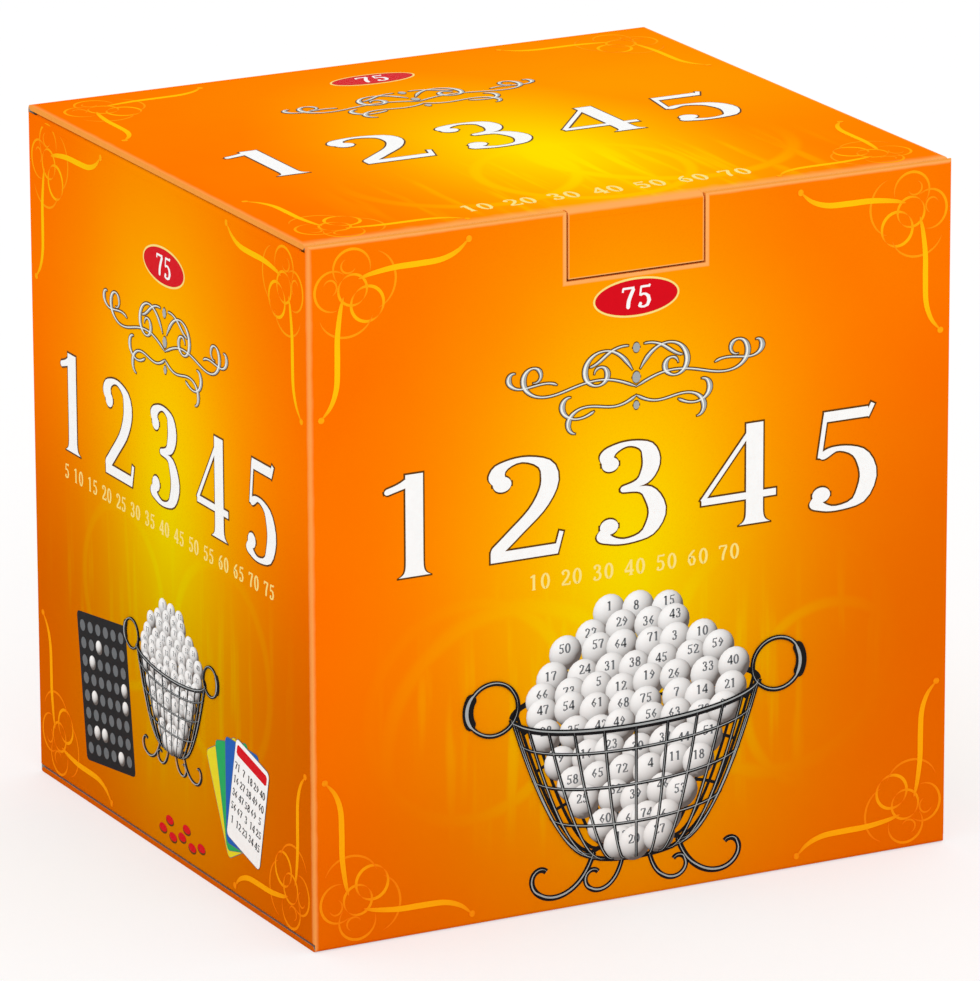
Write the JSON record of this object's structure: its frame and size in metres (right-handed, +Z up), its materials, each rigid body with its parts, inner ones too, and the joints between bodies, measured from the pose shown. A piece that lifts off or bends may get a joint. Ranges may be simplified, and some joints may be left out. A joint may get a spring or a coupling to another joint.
{
  "type": "boxed number-drawing game",
  "caption": "Folding board carton with a lift-up lid and lock tab, holding a wire ball cage on a stand, balls, a board, number cards and counters.",
  "frame": {"origin": "middle of the carton's base, on the surface that it stands on", "axes": "+Z up; -Y is the front panel with the lock tab; -X is the picture's left-hand side panel; the crank is at +X"},
  "size_m": [0.2, 0.18, 0.2],
  "materials": {
    "printed_board": "printed, satin varnish",
    "plain_board": "uncoated grey board",
    "black_wire": "black lacquered wire",
    "black_plastic": "moulded, matte",
    "white_ball": "smooth",
    "red_plastic": "smooth",
    "yellow_card": "printed card",
    "white_card": "printed card",
    "blue_card": "printed card",
    "green_card": "printed card",
    "leaflet_paper": "uncoated"
  },
  "bodies": {
    "carton": {"front_panel": "printed_board", "back_panel": "printed_board", "left_panel": "printed_board", "right_panel": "printed_board", "bottom_flap_front": "printed_board", "bottom_flap_back": "printed_board", "glue_flap": "plain_board", "bottom_flap_left": "plain_board", "bottom_flap_right": "plain_board", "insert_divider": "plain_board", "front_frame": "black_wire", "rear_frame": "black_wire", "foot_loop_left": "black_wire", "foot_loop_right": "black_wire", "chute_rails": "black_wire", "ball_catch": "black_wire", "balls": "white_ball", "master_board": "black_plastic", "chip_tray": "black_plastic", "card_pad_yellow": "yellow_card", "card_pad_white": "white_card", "card_pad_blue": "blue_card", "card_pad_green": "green_card", "rules_leaflet": "leaflet_paper", "chips": "red_plastic"},
    "lid": {"lid_panel": "printed_board"},
    "tuck": {"tuck_flap": "printed_board"},
    "tab": {"lock_tab": "printed_board"},
    "dust_left": {"dust_flap_left": "printed_board"},
    "dust_right": {"dust_flap_right": "printed_board"},
    "drum": {"drum_hoops": "black_wire", "drum_bars": "black_wire", "end_loops_left": "black_wire", "end_loops_right": "black_wire", "hub_left": "black_wire", "hub_right": "black_wire", "hatch_panel": "black_wire", "hatch_clips": "black_wire", "hatch_latch": "black_wire", "axle_crank": "black_wire"},
    "grip": {"grip": "black_plastic"}
  },
  "joints": [
    {"name": "lid_open", "type": "hinge", "parent": "carton", "child": "lid", "pos_m": [0, 0.09, 0.2], "axis": [-1, 0, 0], "range_deg": [0, 240]},
    {"name": "tuck_unfold", "type": "hinge", "parent": "lid", "child": "tuck", "pos_m": [0, -0.0883, 0.2], "axis": [-1, 0, 0], "range_deg": [0, 60]},
    {"name": "tab_flip", "type": "hinge", "parent": "lid", "child": "tab", "pos_m": [0, -0.09, 0.2], "axis": [-1, 0, 0], "range_deg": [0, 95]},
    {"name": "dust_left_open", "type": "hinge", "parent": "carton", "child": "dust_left", "pos_m": [-0.1, 0, 0.1983], "axis": [0, -1, 0], "range_deg": [0, 120]},
    {"name": "dust_right_open", "type": "hinge", "parent": "carton", "child": "dust_right", "pos_m": [0.1, 0, 0.1983], "axis": [0, 1, 0], "range_deg": [0, 120]},
    {"name": "drum_spin", "type": "hinge", "parent": "carton", "child": "drum", "pos_m": [-0.01515, -0.02397, 0.1184], "axis": [1, 0, 0], "continuous": true},
    {"name": "grip_spin", "type": "hinge", "parent": "drum", "child": "grip", "pos_m": [0.0738, -0.02397, 0.0884], "axis": [1, 0, 0], "continuous": true}
  ],
  "couplings": [
    {"joint": "tuck_unfold", "follows": "lid_open", "ratio": 0.25},
    {"joint": "dust_left_open", "follows": "lid_open", "ratio": 0.5},
    {"joint": "dust_right_open", "follows": "lid_open", "ratio": 0.5}
  ]
}
